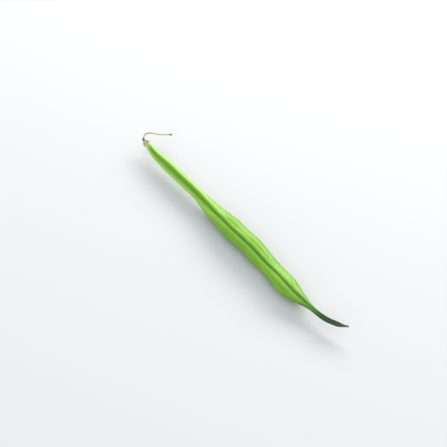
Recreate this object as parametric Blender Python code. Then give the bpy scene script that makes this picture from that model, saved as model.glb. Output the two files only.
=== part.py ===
"""A green bean as picked: the pod with its beak, the dried calyx at its stem end, and the stalk.

The bean lies on its side on Z = 0, stem end towards -X and beak towards +X. Its ventral suture,
the groove between the two valves, faces up and a little towards -Y. Sizes along the pod are
measured from its stem end.
"""

import math

import bmesh
import bpy
from mathutils import Vector

MM = 0.001

# Pod: two valves grown together, swollen over the ripe seeds
POD_LENGTH = 127.5 * MM
STEM_END_WIDTH = 2.9 * MM
NECK_WIDTH = 4.85 * MM
BODY_WIDTH = 8.4 * MM
BEAK_ROOT_WIDTH = 2.1 * MM
BEAK_TIP_WIDTH = 0.6 * MM
DEPTH_TO_WIDTH = 0.97
NECK_FULL_AT = 18.0 * MM
SWELL_FROM = 37.0 * MM
SWELL_TO = 61.0 * MM
NARROWING = 0.7 * MM
NARROWS_FROM = 75.0 * MM
NARROWS_TO = 86.0 * MM
TAPER_FROM = 97.5 * MM
TAPER_TO = 113.0 * MM
BEAK_THINS_FROM = 123.0 * MM
STEM_END_ROUNDING = 1.2 * MM

# Seeds lean alternately into one valve or the other, and lift it slightly
LEFT_SEEDS = (61.0 * MM, 73.0 * MM, 96.0 * MM)
RIGHT_SEEDS = (48.0 * MM, 62.0 * MM, 78.0 * MM, 94.0 * MM)
SEED_LIFT = 0.42 * MM
SEED_REACH = 5.0 * MM
SEED_ANGLE = math.radians(75.0)
SEED_SPREAD = math.radians(50.0)

# Suture: a shallow groove between two lips
GROOVE_DEPTH = 0.32 * MM
GROOVE_SPREAD = math.radians(9.0)
SUTURE_TILT = math.radians(27.0)
SUTURE_TWIST = math.radians(10.0)
TWIST_FROM = 82.0 * MM
TWIST_TO = 96.0 * MM

# The gentle bend of the whole pod, and how it lies
STEM_END_BEND = (0.0 * MM, 10.0 * MM, -1.1 * MM)
NECK_BEND = (34.0 * MM, 55.0 * MM, -0.6 * MM)
BODY_BEND = (73.0 * MM, 103.0 * MM, -2.0 * MM)
BEAK_BEND = (100.0 * MM, 112.0 * MM, 0.5 * MM)
BEAK_CURL_FROM = 104.0 * MM
BEAK_CURL = 4.8 * MM
BEAK_CURL_POWER = 4.5
BEAK_RISE = 1.2 * MM
NECK_RISE = 0.8 * MM
NECK_SINKS_FROM = 23.0 * MM
REST_FLAT_DEPTH = 0.22 * MM
AXIS_HEIGHT = BODY_WIDTH / 2.0 * DEPTH_TO_WIDTH - REST_FLAT_DEPTH

# Calyx and stalk
GAP = 0.3 * MM
CALYX_DIAMETER = 3.0 * MM
CALYX_LENGTH = 1.3 * MM
STALK_LENGTH = 15.5 * MM
STALK_DIAMETER = 0.8 * MM
STALK_START_HEADING = math.radians(135.0)
STALK_END_HEADING = math.radians(48.0)
STALK_BEND_FROM = 1.2 * MM
STALK_BEND_TO = 6.0 * MM
STALK_SINKS = 0.8 * MM
STALK_SINKS_FROM = 6.0 * MM
STALK_SINKS_TO = 10.0 * MM

POD_RINGS = 60
POD_SIDES = 24
RING_CROWDING = 0.5
CALYX_SIDES = 12
STALK_POINTS = 16


def clear_scene():
    for thing in list(bpy.data.objects):
        bpy.data.objects.remove(thing)


def rise(along, start, end):
    """0 up to start, 1 from end on, and a smooth slope between them."""
    t = min(max((along - start) / (end - start), 0.0), 1.0)
    return t * t * (3.0 - 2.0 * t)


def half_width(along):
    width = STEM_END_WIDTH
    width += (NECK_WIDTH - STEM_END_WIDTH) * rise(along, 0.0, NECK_FULL_AT)
    width += (BODY_WIDTH - NECK_WIDTH) * rise(along, SWELL_FROM, SWELL_TO)
    width -= NARROWING * rise(along, NARROWS_FROM, NARROWS_TO)
    width += (BEAK_ROOT_WIDTH - BODY_WIDTH + NARROWING) * rise(along, TAPER_FROM, TAPER_TO)
    width += (BEAK_TIP_WIDTH - BEAK_ROOT_WIDTH) * rise(along, BEAK_THINS_FROM, POD_LENGTH)
    missing = max(1.0 - along / STEM_END_ROUNDING, 0.0)
    return width / 2.0 * math.sqrt(1.0 - 0.8 * missing * missing)


def seed_lift(along, angle):
    """How far the seeds lift the skin, with the angle measured round from the suture."""
    lift = 0.0
    for seeds, side in ((LEFT_SEEDS, 1.0), (RIGHT_SEEDS, -1.0)):
        round_seed = math.exp(-(((angle * side - SEED_ANGLE) / SEED_SPREAD) ** 2))
        for seed in seeds:
            lift += SEED_LIFT * round_seed * math.exp(-(((along - seed) / SEED_REACH) ** 2))
    return lift


def axis_point(along):
    """The middle of the pod, with its stem end over X = 0."""
    sideways = 0.0
    for start, end, shift in (STEM_END_BEND, NECK_BEND, BODY_BEND, BEAK_BEND):
        sideways += shift * rise(along, start, end)
    beak = max(along - BEAK_CURL_FROM, 0.0) / (POD_LENGTH - BEAK_CURL_FROM)
    sideways += BEAK_CURL * beak**BEAK_CURL_POWER
    height = AXIS_HEIGHT + BEAK_RISE * beak**2
    height += NECK_RISE * (1.0 - rise(along, NECK_SINKS_FROM, SWELL_TO))
    height -= NARROWING / 2.0 * rise(along, NARROWS_FROM, NARROWS_TO)
    return Vector((along, sideways, height))


def pod_frame(along):
    """The middle of the pod, and unit vectors across it and towards its suture."""
    step = 0.2 * MM
    tangent = (axis_point(along + step) - axis_point(along - step)).normalized()
    tilt = SUTURE_TILT - SUTURE_TWIST * rise(along, TWIST_FROM, TWIST_TO)
    upwards = Vector((0.0, -math.sin(tilt), math.cos(tilt)))
    across = upwards.cross(tangent).normalized()
    return axis_point(along), across, tangent.cross(across)


def pod_point(along, angle):
    """A point on the skin, flattened where the pod rests."""
    middle, across, suture = pod_frame(along)
    radius = half_width(along)
    groove = GROOVE_DEPTH * min(radius / (NECK_WIDTH / 2.0), 1.0)
    lift = seed_lift(along, angle) - groove * math.exp(-((angle / GROOVE_SPREAD) ** 2))
    sideways = (radius + lift) * math.sin(angle)
    upwards = (radius * DEPTH_TO_WIDTH + lift) * math.cos(angle)
    point = middle + across * sideways + suture * upwards
    point.z = max(point.z, 0.0)
    return point


def make_object(name, mesh_in_work, material):
    """Shades a finished bmesh, and makes it an object."""
    mesh = bpy.data.meshes.new(name)
    mesh_in_work.to_mesh(mesh)
    mesh_in_work.free()
    mesh.shade_smooth()
    mesh.set_sharp_from_angle(angle=math.radians(40.0))
    mesh.materials.append(material)
    thing = bpy.data.objects.new(name, mesh)
    bpy.context.collection.objects.link(thing)
    return thing


def wrapped_grid(rings, sides, place):
    """A grid rolled into a tube and capped. place(ring, turn) gives its points, both from 0 to 1."""
    work = bmesh.new()
    bmesh.ops.create_grid(work, x_segments=rings, y_segments=sides, size=0.5)
    for vert in work.verts:
        vert.co = place(vert.co.x + 0.5, vert.co.y + 0.5)
    bmesh.ops.remove_doubles(work, verts=work.verts, dist=0.005 * MM)
    bmesh.ops.holes_fill(work, edges=work.edges, sides=0)
    bmesh.ops.recalc_face_normals(work, faces=work.faces)
    return work


def plant_material(name, colour, roughness):
    material = bpy.data.materials.new(name)
    material.use_nodes = True
    shader = material.node_tree.nodes["Principled BSDF"]
    shader.inputs["Base Color"].default_value = (*colour, 1.0)
    shader.inputs["Roughness"].default_value = roughness
    shader.inputs["Metallic"].default_value = 0.0
    return material


def make_pod():
    def place(ring, turn):
        crowded = ring - RING_CROWDING * math.sin(2.0 * math.pi * ring) / (2.0 * math.pi)
        angle = (2.0 * turn - 1.0) * math.pi
        return pod_point(crowded * POD_LENGTH, angle)

    skin = plant_material("pod_skin", (0.22, 0.46, 0.05), 0.42)
    return make_object("pod", wrapped_grid(POD_RINGS, POD_SIDES, place), skin)


def make_calyx():
    """A small flattened ball, square to the pod's stem end."""
    stem_end = axis_point(0.0)
    outwards = (stem_end - axis_point(1.0 * MM)).normalized()
    work = bmesh.new()
    bmesh.ops.create_uvsphere(work, u_segments=CALYX_SIDES, v_segments=8, radius=0.5)
    bmesh.ops.scale(work, vec=(CALYX_DIAMETER, CALYX_DIAMETER, CALYX_LENGTH), verts=work.verts)
    turn = Vector((0.0, 0.0, 1.0)).rotation_difference(outwards).to_matrix()
    middle = stem_end + outwards * (GAP + CALYX_LENGTH / 2.0)
    bmesh.ops.transform(work, matrix=turn.to_4x4(), verts=work.verts)
    bmesh.ops.translate(work, vec=middle, verts=work.verts)
    return make_object("calyx", work, plant_material("dried_calyx", (0.20, 0.15, 0.08), 0.85))


def stalk_points():
    """The stalk's middle line: from behind the calyx it bends back along the pod, and sinks a little."""
    stem_end = axis_point(0.0)
    outwards = (stem_end - axis_point(1.0 * MM)).normalized()
    step = STALK_LENGTH / (STALK_POINTS - 1)
    points = [stem_end + outwards * (GAP + CALYX_LENGTH + GAP + STALK_DIAMETER / 2.0)]
    for number in range(1, STALK_POINTS):
        bend = rise(number * step, STALK_BEND_FROM, STALK_BEND_TO)
        heading = STALK_START_HEADING + (STALK_END_HEADING - STALK_START_HEADING) * bend
        points.append(points[-1] + Vector((math.cos(heading), math.sin(heading), 0.0)) * step)
    for number, point in enumerate(points):
        point.z -= STALK_SINKS * rise(number * step, STALK_SINKS_FROM, STALK_SINKS_TO)
    return points


def make_stalk():
    line = bpy.data.curves.new("stalk", "CURVE")
    line.dimensions = "3D"
    line.bevel_depth = STALK_DIAMETER / 2.0
    line.bevel_resolution = 2
    line.use_fill_caps = True
    points = stalk_points()
    spline = line.splines.new("POLY")
    spline.points.add(len(points) - 1)
    for spline_point, point in zip(spline.points, points):
        spline_point.co = (*point, 1.0)
    line.materials.append(plant_material("dry_stalk", (0.45, 0.48, 0.26), 0.7))
    thing = bpy.data.objects.new("stalk", line)
    bpy.context.collection.objects.link(thing)
    return thing


def stand_on_origin(things):
    """Moves the pieces together, so that the middle of their box's underside is the origin."""
    bpy.context.view_layer.update()
    corners = [thing.matrix_world @ Vector(c) for thing in things for c in thing.bound_box]
    low = [min(c[axis] for c in corners) for axis in range(3)]
    high = [max(c[axis] for c in corners) for axis in range(3)]
    shift = Vector(((low[0] + high[0]) / 2.0, (low[1] + high[1]) / 2.0, low[2]))
    for thing in things:
        thing.location -= shift


clear_scene()
stand_on_origin([make_pod(), make_calyx(), make_stalk()])
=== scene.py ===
import functools
import math

import bmesh
import bpy
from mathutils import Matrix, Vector, noise


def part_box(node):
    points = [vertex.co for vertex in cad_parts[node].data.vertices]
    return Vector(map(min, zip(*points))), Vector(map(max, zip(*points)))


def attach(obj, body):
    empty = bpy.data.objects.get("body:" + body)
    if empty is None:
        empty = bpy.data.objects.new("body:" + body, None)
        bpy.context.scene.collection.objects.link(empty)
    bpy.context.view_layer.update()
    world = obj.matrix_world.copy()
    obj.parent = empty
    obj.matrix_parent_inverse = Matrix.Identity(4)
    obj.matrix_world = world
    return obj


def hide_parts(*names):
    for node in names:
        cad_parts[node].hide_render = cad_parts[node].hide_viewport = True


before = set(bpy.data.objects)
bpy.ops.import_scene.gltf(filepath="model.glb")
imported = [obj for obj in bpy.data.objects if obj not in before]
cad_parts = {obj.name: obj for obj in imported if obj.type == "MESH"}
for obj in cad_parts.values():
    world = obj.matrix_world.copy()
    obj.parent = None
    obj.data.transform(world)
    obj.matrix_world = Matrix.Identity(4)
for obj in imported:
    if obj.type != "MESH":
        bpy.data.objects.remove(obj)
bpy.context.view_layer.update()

# Pod. Two green valves grown together along a grooved seam, swollen over the seeds inside and drawn
# out into a dry beak. It grew as one piece, so it is one skin, rolled from the stem end to the tip.
# Places along it are measured from its stem end, and turns round it from the middle of its seam.

MM = 0.001
POD_LENGTH = 127.5 * MM
STEM_END_WIDTH = 2.9 * MM
NECK_WIDTH = 4.85 * MM
BODY_WIDTH = 8.4 * MM
BEAK_ROOT_WIDTH = 2.1 * MM
BEAK_TIP_WIDTH = 0.6 * MM
DEPTH_TO_WIDTH = 0.97
NECK_FULL_AT = 18.0 * MM
SWELL_FROM = 37.0 * MM
SWELL_TO = 61.0 * MM
NARROWING = 0.7 * MM
NARROWS_FROM = 75.0 * MM
NARROWS_TO = 86.0 * MM
TAPER_FROM = 97.5 * MM
TAPER_TO = 113.0 * MM
BEAK_THINS_FROM = 123.0 * MM

# Both ends round off: over what length, and by how much they close
STEM_END_ROUNDING = 1.2 * MM
STEM_END_CLOSING = 0.8
TIP_ROUNDING = 0.5 * MM
TIP_CLOSING = 0.98

# Each seed leans into one valve or the other, and lifts it
LEFT_SEEDS = (61.0 * MM, 73.0 * MM, 96.0 * MM)
RIGHT_SEEDS = (48.0 * MM, 62.0 * MM, 78.0 * MM, 94.0 * MM)
SEED_LIFT = 0.42 * MM
SEED_REACH = 5.0 * MM
SEED_ANGLE = math.radians(75.0)
SEED_SPREAD = math.radians(50.0)

# How far the suture, the middle of the seam, is turned from straight up
SUTURE_TILT = math.radians(27.0)
SUTURE_TWIST = math.radians(10.0)
TWIST_FROM = 82.0 * MM
TWIST_TO = 96.0 * MM

# The gentle bends of the whole pod, each with its start, its end and its shift, and how it lies
BENDS = (
    (0.0 * MM, 10.0 * MM, -1.1 * MM),
    (34.0 * MM, 55.0 * MM, -0.6 * MM),
    (73.0 * MM, 103.0 * MM, -2.0 * MM),
    (100.0 * MM, 112.0 * MM, 0.5 * MM),
)
BEAK_CURL_FROM = 104.0 * MM
BEAK_CURL = 4.8 * MM
BEAK_CURL_POWER = 4.5
BEAK_RISE = 1.2 * MM
NECK_RISE = 0.8 * MM
NECK_SINKS_FROM = 23.0 * MM
REST_FLAT_DEPTH = 0.22 * MM
AXIS_HEIGHT = BODY_WIDTH / 2.0 * DEPTH_TO_WIDTH - REST_FLAT_DEPTH

# The seam is a wide open channel along the neck, and closes to a crease over the seeds
GROOVE_DEPTH = 0.42 * MM
NECK_GROOVE_HALF = 1.15 * MM
BODY_GROOVE_HALF = 0.52 * MM
LIP_HEIGHT = 0.16 * MM
NECK_LIP_HALF = 0.9 * MM
BODY_LIP_HALF = 0.6 * MM
BACK_SEAM_HEIGHT = 0.12 * MM
BACK_SEAM_HALF = 0.35 * MM

# Skin grows unevenly: slow swells, and fibres and wrinkles that stand out where it is dry
SWELL_NOISE_SIZE = 8.0 * MM
SWELL_NOISE_HEIGHT = 0.10 * MM
FIBRE_LENGTH = 14.0 * MM
FIBRE_WIDTH = 0.9 * MM
FIBRE_HEIGHT = 0.035 * MM
DRY_FIBRE_HEIGHT = 0.10 * MM
WRINKLE_LENGTH = 4.0 * MM
WRINKLE_WIDTH = 0.45 * MM
WRINKLE_HEIGHT = 0.24 * MM
BEAK_DRIES_FROM = TAPER_TO - 3.0 * MM
NECK_GREEN_FROM = NECK_FULL_AT / 2.0
NECK_DRYNESS = 0.35

# The mesh is finer towards the two ends and towards the suture
POD_RINGS = 640
POD_SIDES = 128
RING_CROWDING = 0.6
SIDE_CROWDING = 0.5


def rise(along, start, end):
    """0 up to start, 1 from end on, and a smooth slope between them."""
    t = min(max((along - start) / (end - start), 0.0), 1.0)
    return t * t * (3.0 - 2.0 * t)


def hump(distance, half):
    """1 at the middle, about a third at half, and falling smoothly to nothing past twice half."""
    return math.exp(-((distance / half) ** 2))


@functools.lru_cache(maxsize=None)
def half_width(along):
    """Half the width of the pod, without its seeds and its seam."""
    width = STEM_END_WIDTH
    width += (NECK_WIDTH - STEM_END_WIDTH) * rise(along, 0.0, NECK_FULL_AT)
    width += (BODY_WIDTH - NECK_WIDTH) * rise(along, SWELL_FROM, SWELL_TO)
    width -= NARROWING * rise(along, NARROWS_FROM, NARROWS_TO)
    width += (BEAK_ROOT_WIDTH - BODY_WIDTH + NARROWING) * rise(along, TAPER_FROM, TAPER_TO)
    width += (BEAK_TIP_WIDTH - BEAK_ROOT_WIDTH) * rise(along, BEAK_THINS_FROM, POD_LENGTH)
    from_stem_end = max(1.0 - along / STEM_END_ROUNDING, 0.0)
    from_tip = max(1.0 - (POD_LENGTH - along) / TIP_ROUNDING, 0.0)
    rounding = (1.0 - STEM_END_CLOSING * from_stem_end**2) * (1.0 - TIP_CLOSING * from_tip**2)
    return width / 2.0 * math.sqrt(rounding)


def axis_point(along):
    """The middle of the pod, with its stem end over X = 0."""
    sideways = sum(shift * rise(along, start, end) for start, end, shift in BENDS)
    beak = max(along - BEAK_CURL_FROM, 0.0) / (POD_LENGTH - BEAK_CURL_FROM)
    sideways += BEAK_CURL * beak**BEAK_CURL_POWER
    height = AXIS_HEIGHT + BEAK_RISE * beak**2
    height += NECK_RISE * (1.0 - rise(along, NECK_SINKS_FROM, SWELL_TO))
    height -= NARROWING / 2.0 * rise(along, NARROWS_FROM, NARROWS_TO)
    return Vector((along, sideways, height))


@functools.lru_cache(maxsize=None)
def pod_frame(along):
    """The middle of the pod, and unit vectors across it and towards its suture."""
    step = 0.2 * MM
    tangent = (axis_point(along + step) - axis_point(along - step)).normalized()
    tilt = SUTURE_TILT - SUTURE_TWIST * rise(along, TWIST_FROM, TWIST_TO)
    upwards = Vector((0.0, -math.sin(tilt), math.cos(tilt)))
    across = upwards.cross(tangent).normalized()
    return axis_point(along), across, tangent.cross(across)


def seed_lift(along, angle):
    """How far the seeds lift the skin, with the angle measured round from the suture."""
    lift = 0.0
    for seeds, side in ((LEFT_SEEDS, 1.0), (RIGHT_SEEDS, -1.0)):
        round_seed = hump(angle * side - SEED_ANGLE, SEED_SPREAD)
        for seed in seeds:
            lift += SEED_LIFT * round_seed * hump(along - seed, SEED_REACH)
    return lift


def seam_shape(along, angle, radius):
    """The pod's size against its neck, and how much groove, lips and back seam are here, 0 to 1."""
    size = min(radius / (NECK_WIDTH / 2.0), 1.0)
    closing = rise(along, SWELL_FROM, SWELL_TO)
    half = size * (NECK_GROOVE_HALF + (BODY_GROOVE_HALF - NECK_GROOVE_HALF) * closing)
    lip_half = size * (NECK_LIP_HALF + (BODY_LIP_HALF - NECK_LIP_HALF) * closing)
    from_suture = radius * abs(angle)
    from_back = radius * (math.pi - abs(angle))
    groove = hump(from_suture, half)
    lips = hump(from_suture - half - lip_half, lip_half)
    return size, groove, lips, hump(from_back, BACK_SEAM_HALF * size)


def skin_unevenness(straight):
    """How far the skin stands out of its even shape, at a place on the straightened pod."""
    along, across, towards_suture = straight
    swell = SWELL_NOISE_HEIGHT * noise.noise(straight / SWELL_NOISE_SIZE)
    fibre = noise.noise((along / FIBRE_LENGTH, across / FIBRE_WIDTH, towards_suture / FIBRE_WIDTH))
    crease = (along / WRINKLE_LENGTH, across / WRINKLE_WIDTH, towards_suture / WRINKLE_WIDTH)
    wrinkle = noise.noise(crease)
    dry_beak = rise(along, BEAK_DRIES_FROM, BEAK_THINS_FROM)
    dry_neck = NECK_DRYNESS * (1.0 - rise(along, 0.0, NECK_GREEN_FROM))
    fibre *= FIBRE_HEIGHT + (DRY_FIBRE_HEIGHT - FIBRE_HEIGHT) * max(dry_beak, dry_neck)
    size = min(half_width(along) / (NECK_WIDTH / 2.0), 1.0)
    return size * (swell + fibre) + WRINKLE_HEIGHT * wrinkle * dry_beak


def place_on_pod(ring, even_angle):
    """A point on the skin, where it would be on a straightened pod, and how much seam is there."""
    along = POD_LENGTH * (ring - RING_CROWDING * math.sin(2.0 * math.pi * ring) / (2.0 * math.pi))
    angle = even_angle - SIDE_CROWDING * math.sin(even_angle)
    middle, across, suture = pod_frame(along)
    radius = half_width(along)
    sideways = radius * math.sin(angle)
    upwards = radius * DEPTH_TO_WIDTH * math.cos(angle)
    straight = Vector((along, sideways, upwards))
    size, groove, lips, back_seam = seam_shape(along, angle, radius)
    lift = seed_lift(along, angle) + skin_unevenness(straight)
    lift += size * (LIP_HEIGHT * lips - GROOVE_DEPTH * groove + BACK_SEAM_HEIGHT * back_seam)
    point = middle + across * (sideways + lift * math.sin(angle))
    point += suture * (upwards + lift * math.cos(angle))
    point.z = max(point.z, 0.0)
    return point, {"straight": straight, "groove": groove, "lips": lips, "back_seam": back_seam}


def wrapped_grid(rings, sides, place):
    """A grid rolled into a tube, its seam merged and its two ends closed. place gives each vertex
    its point and its named values, from its ring, 0 to 1, and its angle, -pi to pi."""
    work = bmesh.new()
    bmesh.ops.create_grid(work, x_segments=rings, y_segments=sides, size=0.5)
    kinds = {}
    for name, value in place(0.5, 0.0)[1].items():
        is_vector = isinstance(value, Vector)
        kinds[name] = work.verts.layers.float_vector if is_vector else work.verts.layers.float
        kinds[name].new(name)
    layers = {name: kind[name] for name, kind in kinds.items()}
    for vert in work.verts:
        vert.co, values = place(vert.co.x + 0.5, vert.co.y * 2.0 * math.pi)
        for name, value in values.items():
            vert[layers[name]] = value
    bmesh.ops.remove_doubles(work, verts=work.verts, dist=0.0005 * MM)
    bmesh.ops.holes_fill(work, edges=work.edges, sides=0)
    bmesh.ops.recalc_face_normals(work, faces=work.faces)
    return work


# The calyx sits square on the stem end, so its place in the frame tells where the pod's line starts
CALYX_STANDS_OFF = 0.95 * MM
stem_end = axis_point(0.0)
outwards = (stem_end - axis_point(1.0 * MM)).normalized()
calyx_low, calyx_high = (Vector(corner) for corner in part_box("calyx"))
into_frame = (calyx_low + calyx_high) / 2.0 - stem_end - outwards * CALYX_STANDS_OFF
into_frame.z = 0.0


def make_piece(name, work, material, node):
    """Moves a finished bmesh into the frame and makes it the piece that stands for a CAD node."""
    bmesh.ops.translate(work, vec=into_frame, verts=work.verts)
    mesh = bpy.data.meshes.new(name)
    work.to_mesh(mesh)
    work.free()
    mesh.shade_smooth()
    mesh.materials.append(material)
    piece = bpy.data.objects.new(name, mesh)
    bpy.context.collection.objects.link(piece)
    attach(piece, "root")
    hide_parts(node)


def new_material(name):
    """A material with its node tree and its shader."""
    material = bpy.data.materials.new(name)
    material.use_nodes = True
    return material, material.node_tree, material.node_tree.nodes["Principled BSDF"]


def add_node(tree, kind, inputs=None, stops=None, **settings):
    """Adds a node with its settings. An input takes a value, or the output that feeds it, and stops
    are the places and colours along a ramp. A Mix node's colours are its inputs 6 and 7."""
    made = tree.nodes.new(kind)
    for name, value in settings.items():
        setattr(made, name, value)
    for name, value in (inputs or {}).items():
        if isinstance(value, bpy.types.NodeSocket):
            tree.links.new(value, made.inputs[name])
        else:
            made.inputs[name].default_value = value
    for number, (position, colour) in enumerate(stops or ()):
        ramp = made.color_ramp.elements
        stop = ramp[number] if number < 2 else ramp.new(position)
        stop.position = position
        stop.color = colour
    return made


def hex_colour(text):
    """A colour written as sRGB hex, in linear light."""
    parts = [int(text[i : i + 2], 16) / 255.0 for i in (1, 3, 5)]
    return (*[p / 12.92 if p <= 0.04045 else ((p + 0.055) / 1.055) ** 2.4 for p in parts], 1.0)


def grey(value):
    """A plain number as a ramp's colour."""
    return (value, value, value, 1.0)


def fresh_pod_skin():
    """Fresh pod skin: a waxy cuticle over green flesh, so its shine is soft and broad. It is pale
    where it is stretched over the neck and the lips of the seam, and dark to brown at the dry beak."""
    material, tree, shader = new_material("fresh_pod_skin")
    straight = add_node(tree, "ShaderNodeAttribute", attribute_name="straight").outputs["Vector"]
    groove = add_node(tree, "ShaderNodeAttribute", attribute_name="groove").outputs["Fac"]
    lips = add_node(tree, "ShaderNodeAttribute", attribute_name="lips").outputs["Fac"]
    back_seam = add_node(tree, "ShaderNodeAttribute", attribute_name="back_seam").outputs["Fac"]
    along = add_node(tree, "ShaderNodeSeparateXYZ", {"Vector": straight}).outputs["X"]

    # How far along the pod a place is, 0 to 1
    share = add_node(tree, "ShaderNodeMath", {0: along, 1: POD_LENGTH}, operation="DIVIDE").outputs[0]

    # Patches of deeper and yellower green, some 14 mm long and 6 mm across
    patch_scale = (1.0 / (14.0 * MM), 1.0 / (6.0 * MM), 1.0 / (6.0 * MM))
    place = add_node(tree, "ShaderNodeMapping", {"Vector": straight, "Scale": patch_scale})
    patchy = {"Vector": place.outputs[0], "Scale": 1.0, "Detail": 3.0}
    patches = add_node(tree, "ShaderNodeTexNoise", patchy)
    stops = [(0.35, hex_colour("#7cb800")), (0.65, hex_colour("#94ca12"))]
    colour = add_node(tree, "ShaderNodeValToRGB", {"Fac": patches.outputs["Fac"]}, stops).outputs["Color"]

    # Painted shade: the colour darkens away from the suture towards the back, for the shade on the flanks
    # that face down and away from the light. The height is 0 at the back, 1 at the suture.
    upwards = add_node(tree, "ShaderNodeSeparateXYZ", {"Vector": straight}).outputs["Z"]
    from_back = {0: upwards, 1: 1.0 / BODY_WIDTH, 2: 0.5}
    height = add_node(tree, "ShaderNodeMath", from_back, operation="MULTIPLY_ADD")
    stops = [(0.25, hex_colour("#7fa562")), (0.85, grey(1.0))]
    painted_flank_shade = add_node(tree, "ShaderNodeValToRGB", {"Fac": height.outputs[0]}, stops).outputs["Color"]
    shaded_flanks = {0: 1.0, 6: colour, 7: painted_flank_shade}
    colour = add_node(tree, "ShaderNodeMix", shaded_flanks, data_type="RGBA", blend_type="MULTIPLY").outputs[2]

    # The neck is paler, most of all on the suture's side, and so are the lips of the seam and the
    # seam along the back. The groove between the lips is darker.
    stops = [(0.0, grey(0.6)), (0.26, grey(0.5)), (0.46, grey(0.0))]
    neck = add_node(tree, "ShaderNodeValToRGB", {"Fac": share}, stops).outputs["Color"]
    stops = [(0.4, grey(0.3)), (0.72, grey(1.0))]
    near_suture = add_node(tree, "ShaderNodeValToRGB", {"Fac": height.outputs[0]}, stops)
    neck_share = {0: neck, 1: near_suture.outputs["Color"]}
    paleness = add_node(tree, "ShaderNodeMath", neck_share, operation="MULTIPLY").outputs[0]
    pale_neck = {0: paleness, 6: colour, 7: hex_colour("#a9e650")}
    colour = add_node(tree, "ShaderNodeMix", pale_neck, data_type="RGBA").outputs[2]
    strength = add_node(tree, "ShaderNodeMath", {0: neck, 1: 0.7, 2: 0.45}, operation="MULTIPLY_ADD")
    lip_share = {0: lips, 1: strength.outputs[0]}
    lip_paleness = add_node(tree, "ShaderNodeMath", lip_share, operation="MULTIPLY").outputs[0]
    pale_lips = {0: lip_paleness, 6: colour, 7: hex_colour("#bcee6a")}
    colour = add_node(tree, "ShaderNodeMix", pale_lips, data_type="RGBA").outputs[2]
    back_paleness = add_node(tree, "ShaderNodeMath", {0: back_seam, 1: 0.5}, operation="MULTIPLY")
    pale_back = {0: back_paleness.outputs[0], 6: colour, 7: hex_colour("#a9da58")}
    colour = add_node(tree, "ShaderNodeMix", pale_back, data_type="RGBA").outputs[2]
    strength = add_node(tree, "ShaderNodeMath", {0: neck, 1: -0.3, 2: 0.9}, operation="MULTIPLY_ADD")
    groove_share = {0: groove, 1: strength.outputs[0]}
    groove_depth = add_node(tree, "ShaderNodeMath", groove_share, operation="MULTIPLY")
    deep_groove = {0: groove_depth.outputs[0], 6: colour, 7: hex_colour("#4f8a00")}
    colour = add_node(tree, "ShaderNodeMix", deep_groove, data_type="RGBA").outputs[2]

    # A faint net of veins, in wavy meshes some 3 mm long and 1.5 mm wide that lean across the pod
    vein_scale = (1.0 / (3.0 * MM), 1.0 / (1.5 * MM), 1.0 / (1.5 * MM))
    leaning = {"Vector": straight, "Rotation": (0.0, 0.3, 0.3), "Scale": vein_scale}
    place = add_node(tree, "ShaderNodeMapping", leaning)
    waving = {"Vector": place.outputs[0], "Scale": 1.3, "Detail": 2.0}
    waves = add_node(tree, "ShaderNodeTexNoise", waving)
    waviness = (1.1, 1.1, 1.1)
    wavy = {0: waves.outputs["Color"], 1: waviness, 2: place.outputs[0]}
    wavy_place = add_node(tree, "ShaderNodeVectorMath", wavy, operation="MULTIPLY_ADD").outputs[0]
    net = {"Vector": wavy_place, "Scale": 1.0}
    veins = add_node(tree, "ShaderNodeTexVoronoi", net, feature="DISTANCE_TO_EDGE")
    stops = [(0.0, grey(0.07)), (0.11, grey(0.0))]
    near_vein = {"Fac": veins.outputs["Distance"]}
    vein_line = add_node(tree, "ShaderNodeValToRGB", near_vein, stops).outputs["Color"]
    veined = {0: vein_line, 6: colour, 7: hex_colour("#c5e68c")}
    colour = add_node(tree, "ShaderNodeMix", veined, data_type="RGBA").outputs[2]

    # Pale pores, about 0.25 mm wide and 0.9 mm apart, which is coarser than real ones, so that they show
    pores = add_node(tree, "ShaderNodeTexVoronoi", {"Vector": straight, "Scale": 1.0 / (0.9 * MM)})
    stops = [(0.10, grey(0.22)), (0.17, grey(0.0))]
    near_pore = {"Fac": pores.outputs["Distance"]}
    pore_dots = add_node(tree, "ShaderNodeValToRGB", near_pore, stops).outputs["Color"]
    pored = {0: pore_dots, 6: colour, 7: hex_colour("#cbe79a")}
    colour = add_node(tree, "ShaderNodeMix", pored, data_type="RGBA").outputs[2]

    # Both ends lose their green: cream where the pod meets its calyx, dark and then brown at the beak
    stops = [
        (0.0, grey(1.0)),
        (0.012, grey(0.85)),
        (0.045, grey(0.0)),
        (0.82, grey(0.0)),
        (0.90, grey(1.0)),
    ]
    ends = add_node(tree, "ShaderNodeValToRGB", {"Fac": share}, stops).outputs["Color"]
    stops = [
        (0.0, hex_colour("#e6eac0")),
        (0.04, hex_colour("#d0e896")),
        (0.5, hex_colour("#4f8a12")),
        (0.88, hex_colour("#3f7a10")),
        (0.92, hex_colour("#144200")),
        (0.96, hex_colour("#1e3f04")),
        (0.98, hex_colour("#45501f")),
        (1.0, hex_colour("#8a7048")),
    ]
    end_colours = add_node(tree, "ShaderNodeValToRGB", {"Fac": share}, stops).outputs["Color"]
    with_ends = {0: ends, 6: colour, 7: end_colours}
    colour = add_node(tree, "ShaderNodeMix", with_ends, data_type="RGBA").outputs[2]

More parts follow.
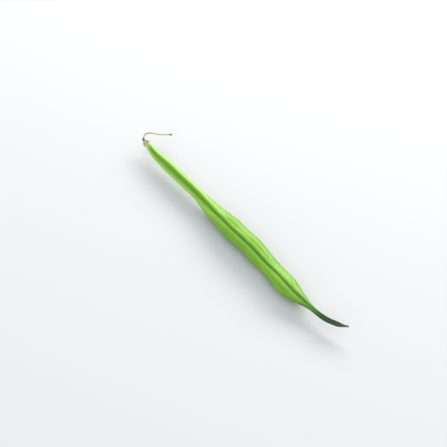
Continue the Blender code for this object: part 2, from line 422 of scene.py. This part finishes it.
    # Fibres under the skin, 10 mm long and 0.4 mm wide
    fibre_scale = (1.0 / (10.0 * MM), 1.0 / (0.4 * MM), 1.0 / (0.4 * MM))
    place = add_node(tree, "ShaderNodeMapping", {"Vector": straight, "Scale": fibre_scale})
    fibrous = {"Vector": place.outputs[0], "Scale": 1.0, "Detail": 2.0}
    fibres = add_node(tree, "ShaderNodeTexNoise", fibrous)
    stops = [(0.35, hex_colour("#dcebb8")), (0.65, grey(1.0))]
    shade = add_node(tree, "ShaderNodeValToRGB", {"Fac": fibres.outputs["Fac"]}, stops).outputs["Color"]
    streaked = {0: 1.0, 6: colour, 7: shade}
    colour = add_node(tree, "ShaderNodeMix", streaked, data_type="RGBA", blend_type="MULTIPLY").outputs[2]

    # The beak's drier fibres show as olive streaks
    stops = [(0.84, grey(0.0)), (0.93, grey(0.55))]
    dryness = add_node(tree, "ShaderNodeValToRGB", {"Fac": share}, stops).outputs["Color"]
    stops = [(0.48, grey(0.0)), (0.62, grey(1.0))]
    standing_out = {"Fac": fibres.outputs["Fac"]}
    dry_fibres = add_node(tree, "ShaderNodeValToRGB", standing_out, stops).outputs["Color"]
    streaks = add_node(tree, "ShaderNodeMath", {0: dryness, 1: dry_fibres}, operation="MULTIPLY")
    dry_streaks = {0: streaks.outputs[0], 6: colour, 7: hex_colour("#44602a")}
    colour = add_node(tree, "ShaderNodeMix", dry_streaks, data_type="RGBA").outputs[2]

    # A few olive rub marks from picking, up to 2.5 mm across
    rubbing = {"Vector": straight, "Scale": 1.0 / (2.5 * MM), "Detail": 4.0}
    rubs = add_node(tree, "ShaderNodeTexNoise", rubbing)
    stops = [(0.66, grey(0.0)), (0.74, grey(0.5))]
    rub_marks = add_node(tree, "ShaderNodeValToRGB", {"Fac": rubs.outputs["Fac"]}, stops)
    rubbed = {0: rub_marks.outputs["Color"], 6: colour, 7: hex_colour("#7d8a35")}
    colour = add_node(tree, "ShaderNodeMix", rubbed, data_type="RGBA").outputs[2]
    tree.links.new(colour, shader.inputs["Base Color"])

    # The wax is thinner in some patches than in others, and gone from the stem end and the beak
    stops = [(0.3, grey(0.36)), (0.7, grey(0.46))]
    wax = add_node(tree, "ShaderNodeValToRGB", {"Fac": patches.outputs["Fac"]}, stops).outputs["Color"]
    stops = [(0.0, grey(0.7)), (0.04, grey(0.0)), (0.84, grey(0.0)), (0.93, grey(0.5))]
    bare_ends = add_node(tree, "ShaderNodeValToRGB", {"Fac": share}, stops).outputs["Color"]
    roughness = add_node(tree, "ShaderNodeMath", {0: wax, 1: bare_ends}, operation="MAXIMUM")
    tree.links.new(roughness.outputs[0], shader.inputs["Roughness"])

    # Relief: the fibres, the veins, and over them the grain of the cuticle, 0.3 mm
    grainy = {"Vector": straight, "Scale": 1.0 / (0.3 * MM), "Detail": 2.0}
    grain = add_node(tree, "ShaderNodeTexNoise", grainy)
    fibre_bump = {"Height": fibres.outputs["Fac"], "Distance": 0.03 * MM}
    normal = add_node(tree, "ShaderNodeBump", fibre_bump).outputs[0]
    vein_bump = {"Height": vein_line, "Distance": 0.06 * MM, "Normal": normal}
    normal = add_node(tree, "ShaderNodeBump", vein_bump).outputs[0]
    grain_bump = {"Height": grain.outputs["Fac"], "Distance": 0.02 * MM, "Normal": normal}
    normal = add_node(tree, "ShaderNodeBump", grain_bump).outputs[0]
    tree.links.new(normal, shader.inputs["Normal"])

    shader.inputs["IOR"].default_value = 1.56
    shader.inputs["Specular Tint"].default_value = hex_colour("#f6fcea")
    shader.inputs["Subsurface Weight"].default_value = 0.12
    shader.inputs["Subsurface Radius"].default_value = (0.6, 1.0, 0.2)
    shader.inputs["Subsurface Scale"].default_value = 0.8 * MM
    shader.inputs["Sheen Weight"].default_value = 0.02
    shader.inputs["Sheen Roughness"].default_value = 0.5
    shader.inputs["Sheen Tint"].default_value = hex_colour("#d9f2c0")
    return material


pod_skin = wrapped_grid(POD_RINGS, POD_SIDES, place_on_pod)
make_piece("pod_skin", pod_skin, fresh_pod_skin(), "pod")

# Calyx. The flower's dried cup, still clasping the stem end of the pod: a papery shell with five
# blunt teeth, and a corky knuckle at its back where the stalk joined it.

CUP_WALL = 0.16 * MM
CUP_HALF = 1.60 * MM
CUP_FLOOR = 0.10 * MM
KNUCKLE_HALF = 0.55 * MM
KNUCKLE_END = 1.90 * MM
KNUCKLE_LEAN = 0.15 * MM
KNUCKLE_LEANS_FROM = 0.3 * MM
CORK_FROM = 0.7 * MM
CORK_TO = 1.2 * MM
TOOTH_COUNT = 5
TOOTH_NOTCH = 0.35 * MM
TOOTH_LENGTH = 1.15 * MM
TOOTH_BLUNTNESS = 0.75
TOOTH_UNEVENNESS = 0.35
TOOTH_NOISE_SCALE = 1.7
TOOTH_FLARE = 0.10 * MM
RIM_THINNING = 0.75 * CUP_WALL
CRUMPLE_SIZE = 0.7 * MM
CRUMPLE_HEIGHT = 0.16 * MM
CRUMPLES_FROM = 0.4 * MM
POLE_HALF = 0.02 * MM
CALYX_RINGS = 96
CALYX_SIDES = 120

# The wall's outline outside, from the knuckle's end to the teeth, and inside, from the cup's floor
# to the teeth. Each place has its share of the way, then how far out it is, or how far from the axis.
OUTSIDE_LENGTHS = (
    (0.0, KNUCKLE_END),
    (0.30, KNUCKLE_END - 0.10 * MM),
    (0.45, 1.05 * MM),
    (0.7, 0.35 * MM),
)
OUTSIDE_HALVES = (
    (0.0, POLE_HALF),
    (0.22, KNUCKLE_HALF),
    (0.42, 0.9 * KNUCKLE_HALF),
    (0.75, CUP_HALF),
    (1.0, CUP_HALF),
)
INSIDE_LENGTHS = (
    (0.0, CUP_FLOOR),
    (0.4, CUP_FLOOR),
    (0.75, -0.3 * MM),
)
INSIDE_HALVES = (
    (0.0, POLE_HALF),
    (0.4, 0.8 * MM),
    (0.75, CUP_HALF - CUP_WALL),
    (1.0, CUP_HALF - CUP_WALL),
)

# The knuckle leans to the side that the stalk turns to, a heading in the plane of the floor
STALK_START_HEADING = math.radians(135.0)
leaving = Vector((math.cos(STALK_START_HEADING), math.sin(STALK_START_HEADING), 0.0))
knuckle_lean = (leaving - outwards * leaving.dot(outwards)).normalized()


def between(places, t):
    """A smooth curve through places, which are given with their shares of the way, 0 to 1."""
    for (start, first), (end, second) in zip(places, places[1:]):
        if t <= end:
            return first + (second - first) * rise(t, start, end)
    return places[-1][1]


def place_on_calyx(ring, angle):
    """The cup's wall, from the knuckle's end out over the back, round the teeth and in again."""
    across, upwards = pod_frame(0.0)[1:]
    round_axis = across * math.sin(angle) + upwards * math.cos(angle)
    tooth = abs(math.cos(angle * TOOTH_COUNT / 2.0)) ** TOOTH_BLUNTNESS
    uneven = 1.0 + TOOTH_UNEVENNESS * noise.noise(round_axis * TOOTH_NOISE_SCALE)
    reach = TOOTH_NOTCH + TOOTH_LENGTH * tooth * uneven
    if ring < 0.5:
        t = ring * 2.0
        out = between((*OUTSIDE_LENGTHS, (1.0, -reach)), t)
        half = between(OUTSIDE_HALVES, t)
    else:
        t = (1.0 - ring) * 2.0
        out = between((*INSIDE_LENGTHS, (1.0, -reach)), t)
        half = between(INSIDE_HALVES, t) + RIM_THINNING * rise(t, 0.88, 1.0)
    edge = rise(t, 0.8, 1.0)
    half += TOOTH_FLARE * edge * tooth
    even = Vector((out, half * math.sin(angle), half * math.cos(angle)))
    half += CRUMPLE_HEIGHT * noise.noise(even / CRUMPLE_SIZE) * rise(half, CRUMPLES_FROM, CUP_HALF)
    point = stem_end + outwards * out + round_axis * half
    point += knuckle_lean * KNUCKLE_LEAN * rise(out, KNUCKLE_LEANS_FROM, KNUCKLE_END)
    straight = Vector((out, half * math.sin(angle), half * math.cos(angle)))
    return point, {"straight": straight, "knuckle": rise(out, CORK_FROM, CORK_TO), "edge": edge}


def papery_calyx():
    """Dried calyx: dull paper with fibres from knuckle to teeth, browned at its edges and cork-brown
    on the knuckle."""
    material, tree, shader = new_material("papery_calyx")
    straight = add_node(tree, "ShaderNodeAttribute", attribute_name="straight").outputs["Vector"]
    knuckle = add_node(tree, "ShaderNodeAttribute", attribute_name="knuckle").outputs["Fac"]
    edge = add_node(tree, "ShaderNodeAttribute", attribute_name="edge").outputs["Fac"]

    # Fibres 2 mm long and 0.12 mm wide
    fibre_scale = (1.0 / (2.0 * MM), 1.0 / (0.12 * MM), 1.0 / (0.12 * MM))
    place = add_node(tree, "ShaderNodeMapping", {"Vector": straight, "Scale": fibre_scale})
    fibrous = {"Vector": place.outputs[0], "Scale": 1.0, "Detail": 2.0}
    fibres = add_node(tree, "ShaderNodeTexNoise", fibrous)
    stops = [(0.3, hex_colour("#cfd0a2")), (0.7, hex_colour("#eef0cc"))]
    colour = add_node(tree, "ShaderNodeValToRGB", {"Fac": fibres.outputs["Fac"]}, stops).outputs["Color"]

    # The teeth are browner at their edges, and the knuckle is bare cork
    browning = add_node(tree, "ShaderNodeMath", {0: edge, 1: 0.35}, operation="MULTIPLY")
    browned = {0: browning.outputs[0], 6: colour, 7: hex_colour("#b09a6c")}
    colour = add_node(tree, "ShaderNodeMix", browned, data_type="RGBA").outputs[2]
    corky = {0: knuckle, 6: colour, 7: hex_colour("#6f6650")}
    colour = add_node(tree, "ShaderNodeMix", corky, data_type="RGBA").outputs[2]

    # Weather stains, 0.6 mm across
    blotchy = {"Vector": straight, "Scale": 1.0 / (0.6 * MM), "Detail": 3.0}
    blotches = add_node(tree, "ShaderNodeTexNoise", blotchy)
    stops = [(0.4, hex_colour("#b9b09a")), (0.6, grey(1.0))]
    stains = add_node(tree, "ShaderNodeValToRGB", {"Fac": blotches.outputs["Fac"]}, stops).outputs["Color"]
    stained = {0: 1.0, 6: colour, 7: stains}
    colour = add_node(tree, "ShaderNodeMix", stained, data_type="RGBA", blend_type="MULTIPLY").outputs[2]
    tree.links.new(colour, shader.inputs["Base Color"])

    stops = [(0.3, grey(0.7)), (0.7, grey(0.9))]
    dullness = add_node(tree, "ShaderNodeValToRGB", {"Fac": blotches.outputs["Fac"]}, stops)
    tree.links.new(dullness.outputs["Color"], shader.inputs["Roughness"])
    fibre_bump = {"Height": fibres.outputs["Fac"], "Distance": 0.06 * MM}
    normal = add_node(tree, "ShaderNodeBump", fibre_bump)
    tree.links.new(normal.outputs[0], shader.inputs["Normal"])
    shader.inputs["IOR"].default_value = 1.45
    shader.inputs["Subsurface Weight"].default_value = 0.2
    shader.inputs["Subsurface Radius"].default_value = (1.0, 0.9, 0.6)
    shader.inputs["Subsurface Scale"].default_value = 0.3 * MM
    return material


calyx_cup = wrapped_grid(CALYX_RINGS, CALYX_SIDES, place_on_calyx)
make_piece("calyx_cup", calyx_cup, papery_calyx(), "calyx")

# Stalk. The thin flower stalk that carried the pod, drying from its joint outwards. It swells at the
# calyx, soon bends back along the pod, and ends where it tore off the vine.

STALK_LENGTH = 15.5 * MM
STALK_HALF = 0.30 * MM
STALK_JOINT_HALF = 0.53 * MM
STALK_TORN_HALF = 0.40 * MM
STALK_END_HEADING = math.radians(48.0)
STALK_BEND_FROM = 1.2 * MM
STALK_BEND_TO = 6.0 * MM
STALK_SINKS = 0.8 * MM
STALK_SINKS_FROM = 6.0 * MM
STALK_SINKS_TO = 10.0 * MM
STALK_STARTS_AT = 2.3 * MM
STALK_IN_KNUCKLE = 1.1 * MM
STALK_TURNED_AT = 0.4 * MM
JOINT_SWELLS_FROM = 0.2 * MM
JOINT_SWELLS_TO = 0.9 * MM
JOINT_THINS_FROM = 1.4 * MM
JOINT_THINS_TO = 2.8 * MM
TORN_FROM = 0.93
TORN_TO = 0.99
END_ROUNDS_FROM = 0.985
END_CLOSING = 0.6
STALK_RIDGES = 5
STALK_RIDGE_HEIGHT = 0.035 * MM
STALK_RIDGE_TURN = 3.0
STALK_NOISE_SIZE = 1.5 * MM
STALK_NOISE_HEIGHT = 0.05 * MM
STALK_STEPS = 220
STALK_SIDES = 40

# The middle line, in small steps. It starts in the knuckle, pointing away from the pod, turns aside
# as it comes out, and then bends back along the pod.
step = (STALK_LENGTH + STALK_IN_KNUCKLE) / STALK_STEPS
stalk_line = [stem_end + outwards * (STALK_STARTS_AT - STALK_IN_KNUCKLE)]
for number in range(STALK_STEPS):
    gone = number * step - STALK_IN_KNUCKLE
    turned = rise(gone, -STALK_IN_KNUCKLE, STALK_TURNED_AT)
    bent = rise(gone, STALK_BEND_FROM, STALK_BEND_TO)
    heading = math.pi + (STALK_START_HEADING - math.pi) * turned
    heading += (STALK_END_HEADING - STALK_START_HEADING) * bent
    stalk_line.append(stalk_line[-1] + Vector((math.cos(heading), math.sin(heading), 0.0)) * step)
for number, point in enumerate(stalk_line):
    gone = number * step - STALK_IN_KNUCKLE
    point.z -= STALK_SINKS * rise(gone, STALK_SINKS_FROM, STALK_SINKS_TO)


def place_on_stalk(ring, angle):
    """A point on the stalk, and where it would be on a straightened one."""
    number = round(ring * STALK_STEPS)
    before = stalk_line[max(number - 1, 0)]
    after = stalk_line[min(number + 1, STALK_STEPS)]
    tangent = (after - before).normalized()
    across = Vector((-tangent.y, tangent.x, 0.0))
    along = ring * (STALK_LENGTH + STALK_IN_KNUCKLE)
    joint = rise(along, JOINT_SWELLS_FROM, JOINT_SWELLS_TO)
    joint *= 1.0 - rise(along, JOINT_THINS_FROM, JOINT_THINS_TO)
    half = STALK_HALF + (STALK_JOINT_HALF - STALK_HALF) * joint
    half += (STALK_TORN_HALF - STALK_HALF) * rise(ring, TORN_FROM, TORN_TO)
    half += STALK_RIDGE_HEIGHT * math.cos(STALK_RIDGES * angle + STALK_RIDGE_TURN * ring)
    straight = Vector((along, half * math.sin(angle), half * math.cos(angle)))
    half += STALK_NOISE_HEIGHT * noise.noise(straight / STALK_NOISE_SIZE)
    half *= 1.0 - END_CLOSING * rise(ring, END_ROUNDS_FROM, 1.0)
    point = stalk_line[number] + across * half * math.sin(angle)
    point.z += half * math.cos(angle)
    return point, {"straight": straight}


def drying_stalk():
    """Drying flower stalk: greyish and dull at the joint, still pale green towards its torn end, with
    the fibres of its core showing through."""
    material, tree, shader = new_material("drying_stalk")
    straight = add_node(tree, "ShaderNodeAttribute", attribute_name="straight").outputs["Vector"]
    along = add_node(tree, "ShaderNodeSeparateXYZ", {"Vector": straight}).outputs["X"]
    share = add_node(tree, "ShaderNodeMath", {0: along, 1: STALK_LENGTH}, operation="DIVIDE").outputs[0]
    stops = [
        (0.0, hex_colour("#756a54")),
        (0.10, hex_colour("#857b64")),
        (0.16, hex_colour("#c2bfa8")),
        (0.45, hex_colour("#d6d6c0")),
        (0.75, hex_colour("#d3e2a6")),
        (0.96, hex_colour("#d2de9e")),
        (1.0, hex_colour("#8e7c55")),
    ]
    colour = add_node(tree, "ShaderNodeValToRGB", {"Fac": share}, stops).outputs["Color"]

    # Fibres 4 mm long and 0.1 mm wide
    fibre_scale = (1.0 / (4.0 * MM), 1.0 / (0.1 * MM), 1.0 / (0.1 * MM))
    place = add_node(tree, "ShaderNodeMapping", {"Vector": straight, "Scale": fibre_scale})
    fibrous = {"Vector": place.outputs[0], "Scale": 1.0, "Detail": 2.0}
    fibres = add_node(tree, "ShaderNodeTexNoise", fibrous)
    stops = [(0.35, hex_colour("#b8b49e")), (0.6, grey(1.0))]
    shade = add_node(tree, "ShaderNodeValToRGB", {"Fac": fibres.outputs["Fac"]}, stops).outputs["Color"]
    streaked = {0: 1.0, 6: colour, 7: shade}
    colour = add_node(tree, "ShaderNodeMix", streaked, data_type="RGBA", blend_type="MULTIPLY").outputs[2]
    tree.links.new(colour, shader.inputs["Base Color"])

    stops = [(0.3, grey(0.6)), (0.7, grey(0.8))]
    dullness = add_node(tree, "ShaderNodeValToRGB", {"Fac": fibres.outputs["Fac"]}, stops)
    tree.links.new(dullness.outputs["Color"], shader.inputs["Roughness"])
    fibre_bump = {"Height": fibres.outputs["Fac"], "Distance": 0.05 * MM}
    normal = add_node(tree, "ShaderNodeBump", fibre_bump)
    tree.links.new(normal.outputs[0], shader.inputs["Normal"])
    shader.inputs["IOR"].default_value = 1.45
    return material


flower_stalk = wrapped_grid(STALK_STEPS, STALK_SIDES, place_on_stalk)
make_piece("flower_stalk", flower_stalk, drying_stalk(), "stalk")

# Floor. A wide sheet of matt white board, which the bean lies on. It is in a room with pale walls,
# so an even light comes from all sides.

FLOOR_SIZE = 3.0
floor_sheet = bmesh.new()
bmesh.ops.create_grid(floor_sheet, x_segments=1, y_segments=1, size=FLOOR_SIZE)
floor_mesh = bpy.data.meshes.new("floor")
floor_sheet.to_mesh(floor_mesh)
floor_sheet.free()
floor = bpy.data.objects.new("floor", floor_mesh)
bpy.context.collection.objects.link(floor)
board, _, board_shader = new_material("matt_white_board")
board_shader.inputs["Base Color"].default_value = hex_colour("#e5e5e5")
board_shader.inputs["Roughness"].default_value = 0.7
floor_mesh.materials.append(board)

world = bpy.data.worlds.new("white_room")
world.use_nodes = True
world.node_tree.nodes["Background"].inputs["Color"].default_value = hex_colour("#f2f7ff")
world.node_tree.nodes["Background"].inputs["Strength"].default_value = 0.65
bpy.context.scene.world = world

# Lights. A long softbox stands behind the bean and lays a broad band of light along its far flank.
# A square one overhead and a large one in front are weaker, and lighten the shadows.


def softbox(name, direction, distance, size, power, colour):
    """A rectangle of soft light that faces the bean, from a direction and a distance."""
    lamp = bpy.data.lights.new(name, "AREA")
    lamp.shape = "RECTANGLE"
    lamp.size, lamp.size_y = size
    lamp.energy = power
    lamp.color = hex_colour(colour)[:3]
    light = bpy.data.objects.new(name, lamp)
    towards = Vector(direction).normalized()
    light.location = towards * distance
    light.rotation_euler = towards.to_track_quat("Z", "Y").to_euler()
    bpy.context.collection.objects.link(light)


softbox("strip", (-0.45, 0.83, 0.46), 1.0, (1.6, 0.36), 13.6, "#fffdf8")
softbox("overhead", (-0.1, 0.3, 0.95), 1.6, (1.2, 1.2), 2.0, "#fbfdff")
softbox("fill", (0.3, -0.85, 0.5), 2.0, (2.0, 1.6), 8.0, "#fbfdff")

# Camera. A long lens looks down on the bean from the side of its beak, with the grooved seam facing
# it, and is far enough away to keep the bean's natural proportions.

AIM = Vector((-4.94, -5.09, 4.0)) * MM
CAMERA_AZIMUTH = math.radians(49.88)
CAMERA_ELEVATION = math.radians(52.0)
CAMERA_DISTANCE = 442.9 * MM
lens = bpy.data.cameras.new("camera")
lens.lens = 85.0
lens.clip_start = 10.0 * MM
camera = bpy.data.objects.new("camera", lens)
flat = math.cos(CAMERA_ELEVATION)
backwards = Vector((
    math.sin(CAMERA_AZIMUTH) * flat,
    -math.cos(CAMERA_AZIMUTH) * flat,
    math.sin(CAMERA_ELEVATION),
))
camera.location = AIM + backwards * CAMERA_DISTANCE
camera.rotation_euler = backwards.to_track_quat("Z", "Y").to_euler()
bpy.context.collection.objects.link(camera)
bpy.context.scene.camera = camera
bpy.context.scene.view_settings.view_transform = "Standard"
